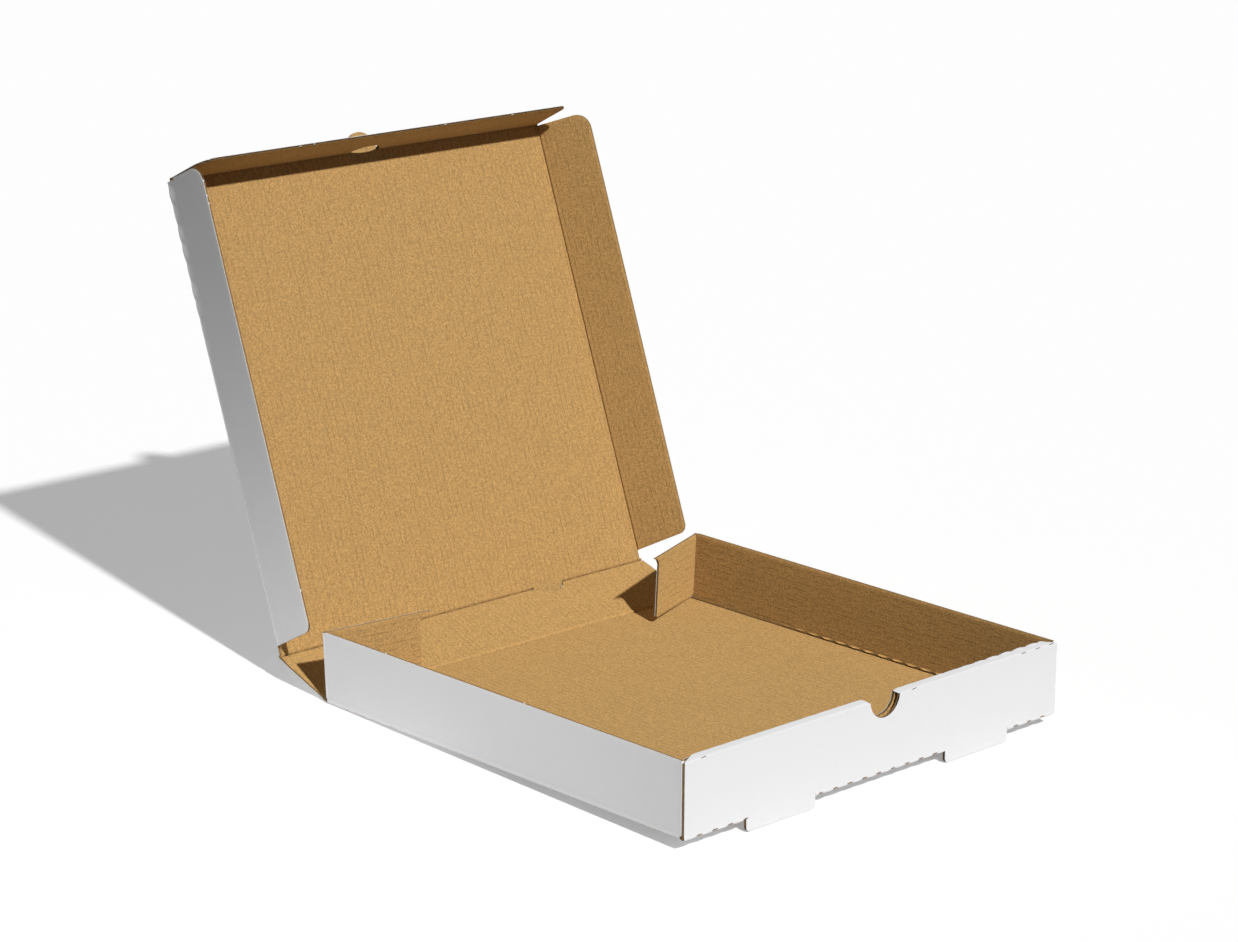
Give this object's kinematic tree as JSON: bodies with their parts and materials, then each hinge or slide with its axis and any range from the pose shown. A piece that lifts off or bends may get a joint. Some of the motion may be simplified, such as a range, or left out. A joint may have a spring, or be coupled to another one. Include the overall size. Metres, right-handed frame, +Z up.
{
  "type": "pizza box",
  "caption": "open corrugated pizza box: tray with rolled front, finger notch and feet, leaning rear wall, and a lid with side flaps, front flap and half-moon tabs",
  "frame": {"origin": "middle of the overall box on the ground that the feet and the rear crease stand on", "axes": "+X to the right seen from the front, +Y from the notched front wall to the lid's hinge side, +Z up"},
  "size_m": [0.2648, 0.3854, 0.2556],
  "materials": {
    "board": "uncoated single-wall board, white liner outside and kraft liner inside"
  },
  "bodies": {
    "tray": {"tray": "board"},
    "rear_wall": {"rear_wall": "board"},
    "lid_panel": {"lid_panel": "board"},
    "lid_left_flap": {"lid_left_flap": "board"},
    "lid_right_flap": {"lid_right_flap": "board"},
    "lid_front_flap": {"lid_front_flap": "board"},
    "left_dust_flap": {"left_dust_flap": "board"},
    "right_dust_flap": {"right_dust_flap": "board"}
  },
  "joints": [
    {"name": "rear_wall_fold", "type": "hinge", "parent": "tray", "child": "rear_wall", "pos_m": [-0.00358, 0.06134, 0.0005], "axis": [-1, 0, 0], "range_deg": [-18, 9]},
    {"name": "lid_panel_fold", "type": "hinge", "parent": "rear_wall", "child": "lid_panel", "pos_m": [-0.00358, 0.09868, 0.01244], "axis": [1, 0, 0], "range_deg": [-50.6, 30]},
    {"name": "lid_left_flap_fold", "type": "hinge", "parent": "lid_panel", "child": "lid_left_flap", "pos_m": [-0.12818, 0.14442, 0.12878], "axis": [0, 0.3659, 0.9307], "range_deg": [-86, 8]},
    {"name": "lid_right_flap_fold", "type": "hinge", "parent": "lid_panel", "child": "lid_right_flap", "pos_m": [0.12102, 0.14442, 0.12878], "axis": [0, -0.3659, -0.9307], "range_deg": [-70.3, 24]},
    {"name": "lid_front_flap_fold", "type": "hinge", "parent": "lid_panel", "child": "lid_front_flap", "pos_m": [-0.00358, 0.18876, 0.24157], "axis": [1, 0, 0], "range_deg": [-83, 7]},
    {"name": "left_dust_flap_fold", "type": "hinge", "parent": "tray", "child": "left_dust_flap", "pos_m": [-0.13106, 0.05981, 0.02004], "axis": [0.0489, -0.0237, -0.9985], "range_deg": [-12, 17]},
    {"name": "right_dust_flap_fold", "type": "hinge", "parent": "tray", "child": "right_dust_flap", "pos_m": [0.12389, 0.05981, 0.02004], "axis": [0.0489, 0.0237, 0.9985], "range_deg": [-23.5, 6]}
  ]
}
